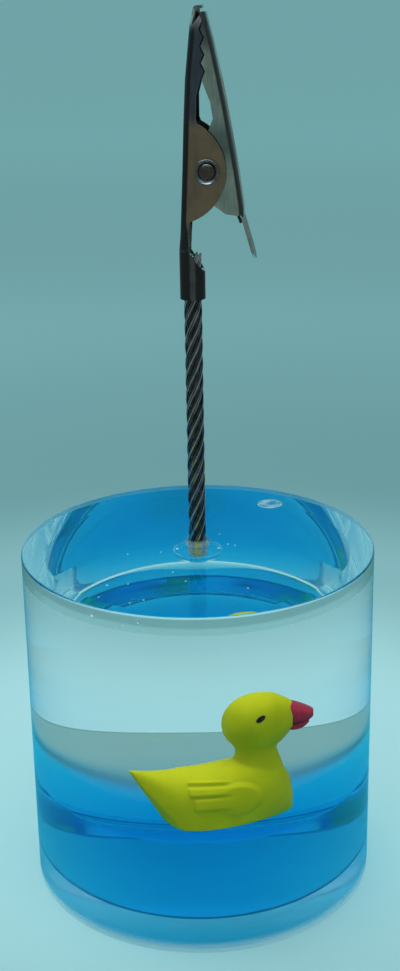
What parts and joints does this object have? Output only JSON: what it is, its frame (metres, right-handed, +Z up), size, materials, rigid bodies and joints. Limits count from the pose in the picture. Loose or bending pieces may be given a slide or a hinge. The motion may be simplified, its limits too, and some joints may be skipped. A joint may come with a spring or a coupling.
{
  "type": "memo holder",
  "caption": "Desk memo holder: clear round tank of blue water under clear oil with a floating toy duck, a stranded wire stem and a sprung crocodile clip that grips a note.",
  "frame": {"origin": "on the desk, at the centre of the tank's underside", "axes": "+Z up along the tank's axis and the stem, -Y towards the front, +X to the right, where the duck's beak and the clip's lever point"},
  "size_m": [0.06, 0.06, 0.1485],
  "materials": {
    "clear_acrylic": "polished clear acrylic",
    "clear_plug": "clear plastic",
    "glue": "cured clear glue, slightly yellow",
    "blue_water": "dyed water",
    "clear_oil": "clear oil",
    "steel_wire": "bare stranded steel wire",
    "plated_steel": "bright plated sheet steel",
    "spring_steel": "drawn spring wire",
    "duck_plastic": "moulded yellow plastic",
    "beak_paint": "red painted plastic"
  },
  "bodies": {
    "holder": {"tank_base": "clear_acrylic", "tank_wall": "clear_acrylic", "tank_lid": "clear_acrylic", "fill_plug": "clear_plug", "stem_bush": "clear_plug", "stem_glue": "glue", "blue_water": "blue_water", "clear_oil": "clear_oil", "wire_stem": "steel_wire", "fixed_jaw": "plated_steel", "pivot_rivet": "plated_steel", "torsion_spring": "spring_steel"},
    "jaw": {"moving_jaw": "plated_steel"},
    "duck": {"duck_body": "duck_plastic", "duck_beak": "beak_paint"}
  },
  "joints": [
    {"name": "jaw_open", "type": "hinge", "parent": "holder", "child": "jaw", "pos_m": [0.00282, -0.0003, 0.12413], "axis": [0.1045, 0.9945, 0], "range_deg": [0, 25], "stiffness_Nm_per_rad": 0.06, "springref_deg": -51.57, "deforming": ["torsion_spring"]},
    {"name": "duck_drift", "type": "hinge", "parent": "holder", "child": "duck", "pos_m": [0, 0, 0.0223], "axis": [0, 0, 1], "continuous": true, "deforming": ["blue_water", "clear_oil"]}
  ]
}
